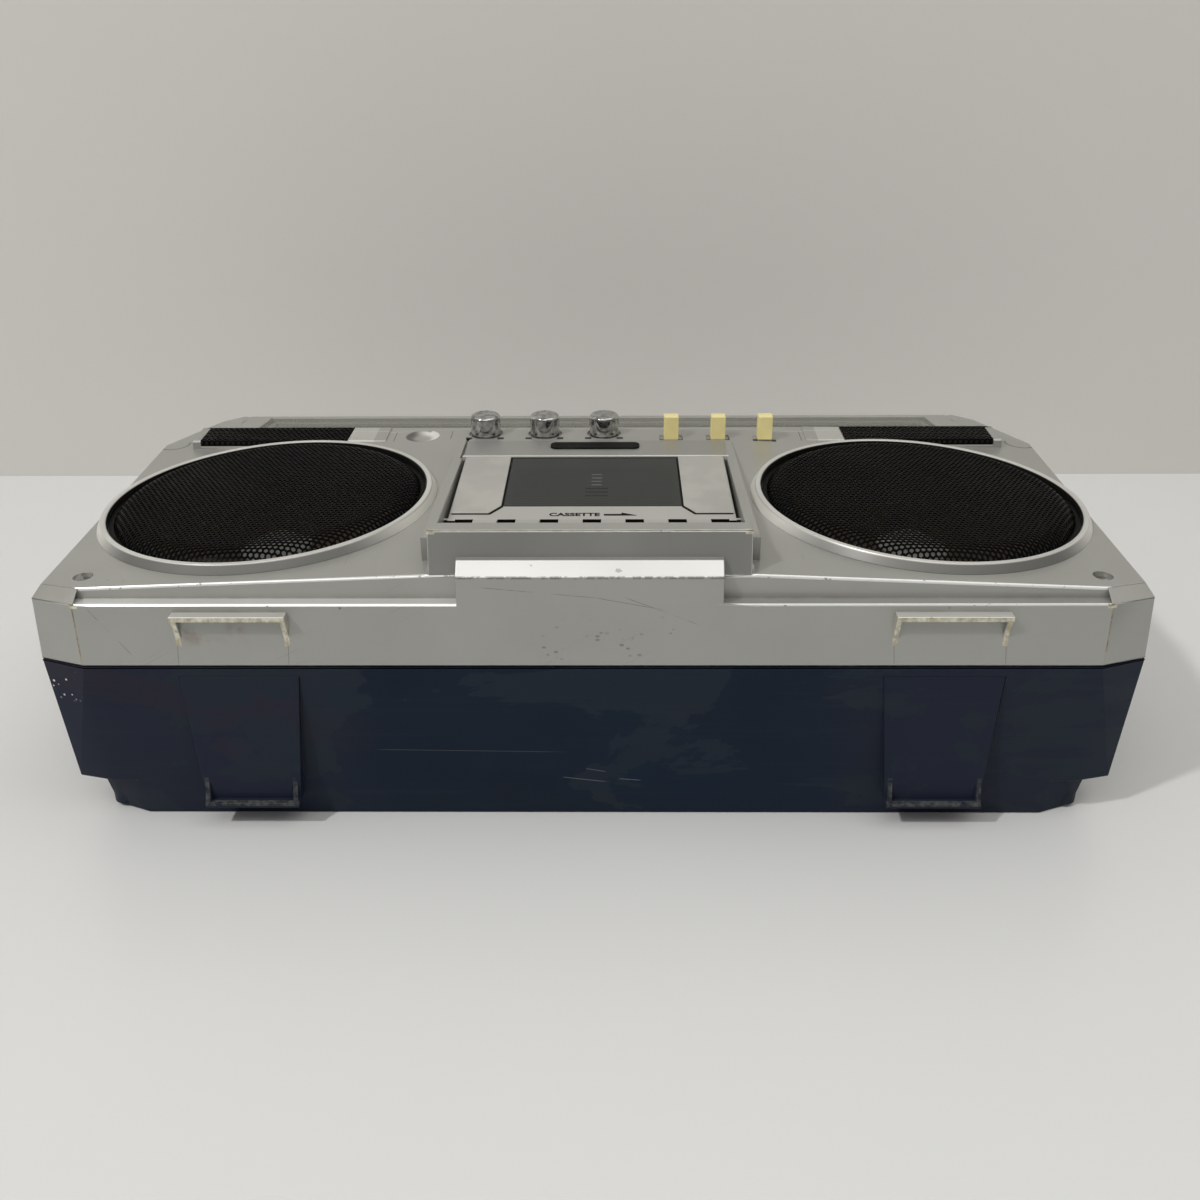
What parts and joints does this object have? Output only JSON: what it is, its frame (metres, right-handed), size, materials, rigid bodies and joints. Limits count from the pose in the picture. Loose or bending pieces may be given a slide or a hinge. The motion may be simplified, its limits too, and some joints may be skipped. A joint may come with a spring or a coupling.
{
  "type": "radio cassette player",
  "caption": "Portable stereo radio cassette player lying on its back, with round woofers, tweeter bars, a cassette door, keys, knobs, slide levers, tuning dial, handle and antenna.",
  "frame": {"origin": "middle of the flat back face, on the surface that the player lies on", "axes": "+X to the right across the width, +Y from the bottom face to the top, +Z from the back face to the front panel"},
  "size_m": [0.4818, 0.2683, 0.1428],
  "materials": {
    "silver_shell": "silver-painted moulded plastic, worn to ivory at the edges",
    "navy_shell": "brush-painted navy plastic",
    "screw_steel": "plated steel",
    "trim_silver": "light silver plastic trim",
    "grille_black": "black painted perforated sheet",
    "basket_steel": "pressed steel basket with a ferrite magnet",
    "cone_paper": "brown paper cone with a silver dust cap",
    "black_plastic": "black moulded plastic",
    "dial_clear": "clear dial window, a little yellowed",
    "pointer_red": "red pointer",
    "knob_chrome": "chrome-plated knob",
    "bright_steel": "zinc-plated steel",
    "lever_cream": "cream plastic, yellowed",
    "window_smoke": "smoked ribbed window",
    "key_silver": "silver-painted plastic keys",
    "roller_rubber": "black rubber",
    "white_plastic": "off-white plastic",
    "pulley_brass": "turned brass",
    "board_brown": "brown resin-paper circuit board",
    "ferrite": "dark ferrite rod with a wound coil",
    "core_steel": "laminated transformer core",
    "handle_black": "black plastic handle",
    "antenna_chrome": "chrome-plated tube"
  },
  "bodies": {
    "cabinet": {"front_shell": "silver_shell", "rear_cover": "navy_shell", "battery_door": "navy_shell", "case_screws": "screw_steel", "left_trim_ring": "trim_silver", "right_trim_ring": "trim_silver", "left_woofer_grille": "grille_black", "right_woofer_grille": "grille_black", "left_woofer_frame": "basket_steel", "right_woofer_frame": "basket_steel", "left_woofer_cone": "cone_paper", "right_woofer_cone": "cone_paper", "left_tweeter_grille": "grille_black", "right_tweeter_grille": "grille_black", "left_tweeter": "black_plastic", "right_tweeter": "black_plastic", "dial_window": "dial_clear", "dial_scale": "black_plastic", "control_pots": "bright_steel", "slide_switches": "bright_steel", "key_comb": "black_plastic", "deck_chassis": "bright_steel", "deck_motor": "bright_steel", "drive_belt": "roller_rubber", "main_board": "board_brown", "tuning_capacitor": "white_plastic", "ferrite_rod": "ferrite", "power_transformer": "core_steel", "battery_contacts": "bright_steel", "mains_inlet": "black_plastic", "jack_sockets": "bright_steel", "antenna_base": "black_plastic"},
    "pointer": {"dial_pointer": "pointer_red"},
    "volume": {"volume_knob": "knob_chrome"},
    "tone": {"tone_knob": "knob_chrome"},
    "tuning": {"tuning_knob": "knob_chrome"},
    "band": {"band_lever": "lever_cream"},
    "mode": {"mode_lever": "lever_cream"},
    "tape": {"tape_lever": "lever_cream"},
    "door": {"cassette_door": "silver_shell", "door_window": "window_smoke", "door_side_plates": "trim_silver", "cassette_holder": "black_plastic"},
    "record": {"record_key": "key_silver"},
    "play": {"play_key": "key_silver"},
    "rewind": {"rewind_key": "key_silver"},
    "forward": {"forward_key": "key_silver"},
    "stop": {"stop_key": "key_silver"},
    "pause": {"pause_key": "key_silver"},
    "head": {"head_bridge": "bright_steel"},
    "pinch": {"pinch_roller": "roller_rubber"},
    "capstan": {"capstan_flywheel": "bright_steel"},
    "supply": {"supply_spindle": "white_plastic"},
    "takeup": {"takeup_spindle": "white_plastic"},
    "pulley": {"motor_pulley": "pulley_brass"},
    "handle": {"handle_grip": "handle_black", "left_handle_arm": "handle_black", "right_handle_arm": "handle_black"},
    "mast": {"antenna_tube": "antenna_chrome"},
    "rod": {"antenna_rod": "antenna_chrome"}
  },
  "joints": [
    {"name": "record_press", "type": "slide", "parent": "cabinet", "child": "record", "axis": [0, 0, -1], "range_m": [0, 0.005], "stiffness_N_per_m": 120, "springref_m": -0.003},
    {"name": "play_press", "type": "slide", "parent": "cabinet", "child": "play", "axis": [0, 0, -1], "range_m": [0, 0.005], "stiffness_N_per_m": 120, "springref_m": -0.003},
    {"name": "rewind_press", "type": "slide", "parent": "cabinet", "child": "rewind", "axis": [0, 0, -1], "range_m": [0, 0.005], "stiffness_N_per_m": 120, "springref_m": -0.003},
    {"name": "forward_press", "type": "slide", "parent": "cabinet", "child": "forward", "axis": [0, 0, -1], "range_m": [0, 0.005], "stiffness_N_per_m": 120, "springref_m": -0.003},
    {"name": "stop_press", "type": "slide", "parent": "cabinet", "child": "stop", "axis": [0, 0, -1], "range_m": [0, 0.005], "stiffness_N_per_m": 120, "springref_m": -0.003},
    {"name": "pause_press", "type": "slide", "parent": "cabinet", "child": "pause", "axis": [0, 0, -1], "range_m": [0, 0.005], "stiffness_N_per_m": 120, "springref_m": -0.003},
    {"name": "volume_turn", "type": "hinge", "parent": "cabinet", "child": "volume", "pos_m": [-0.06, 0.065, 0.1243], "axis": [0, 0, 1], "range_deg": [-135, 135]},
    {"name": "tone_turn", "type": "hinge", "parent": "cabinet", "child": "tone", "pos_m": [-0.0277, 0.065, 0.1243], "axis": [0, 0, 1], "range_deg": [-135, 135]},
    {"name": "tuning_turn", "type": "hinge", "parent": "cabinet", "child": "tuning", "pos_m": [0.0046, 0.065, 0.1243], "axis": [0, 0, 1], "range_deg": [-135, 135]},
    {"name": "band_slide", "type": "slide", "parent": "cabinet", "child": "band", "axis": [1, 0, 0], "range_m": [-0.002, 0.002]},
    {"name": "mode_slide", "type": "slide", "parent": "cabinet", "child": "mode", "axis": [1, 0, 0], "range_m": [-0.002, 0.002]},
    {"name": "tape_slide", "type": "slide", "parent": "cabinet", "child": "tape", "axis": [1, 0, 0], "range_m": [-0.002, 0.002]},
    {"name": "pointer_slide", "type": "slide", "parent": "cabinet", "child": "pointer", "axis": [1, 0, 0], "range_m": [-0.166, 0.166]},
    {"name": "door_hinge", "type": "hinge", "parent": "cabinet", "child": "door", "pos_m": [0, -0.0595, 0.1254], "axis": [1, 0, 0], "range_deg": [0, 38]},
    {"name": "head_slide", "type": "slide", "parent": "cabinet", "child": "head", "axis": [0, 1, 0], "range_m": [0, 0.005]},
    {"name": "pinch_spin", "type": "hinge", "parent": "head", "child": "pinch", "pos_m": [0.024, -0.0556, 0.11], "axis": [0, 0, 1], "continuous": true},
    {"name": "capstan_spin", "type": "hinge", "parent": "cabinet", "child": "capstan", "pos_m": [0.024, -0.043, 0.095], "axis": [0, 0, 1], "continuous": true},
    {"name": "supply_spin", "type": "hinge", "parent": "cabinet", "child": "supply", "pos_m": [-0.02125, -0.016, 0.098], "axis": [0, 0, 1], "continuous": true},
    {"name": "takeup_spin", "type": "hinge", "parent": "cabinet", "child": "takeup", "pos_m": [0.02125, -0.016, 0.098], "axis": [0, 0, 1], "continuous": true},
    {"name": "pulley_spin", "type": "hinge", "parent": "cabinet", "child": "pulley", "pos_m": [-0.045, 0.04, 0.09], "axis": [0, 0, 1], "continuous": true},
    {"name": "handle_hinge", "type": "hinge", "parent": "cabinet", "child": "handle", "pos_m": [0, 0.106, 0.07], "axis": [1, 0, 0], "range_deg": [0, 63]},
    {"name": "mast_swing", "type": "hinge", "parent": "cabinet", "child": "mast", "pos_m": [0.191, 0.127, 0.052], "axis": [0, 0, -1], "range_deg": [0, 90]},
    {"name": "rod_pull", "type": "slide", "parent": "mast", "child": "rod", "axis": [-1, 0, 0], "range_m": [0, 0.28]}
  ],
  "couplings": [
    {"joint": "pointer_slide", "follows": "tuning_turn", "m_per_rad": 0.07},
    {"joint": "head_slide", "follows": "play_press", "ratio": 1},
    {"joint": "pulley_spin", "follows": "capstan_spin", "ratio": 6},
    {"joint": "takeup_spin", "follows": "capstan_spin", "ratio": 0.08},
    {"joint": "supply_spin", "follows": "capstan_spin", "ratio": 0.06},
    {"joint": "pinch_spin", "follows": "capstan_spin", "ratio": -0.2}
  ]
}
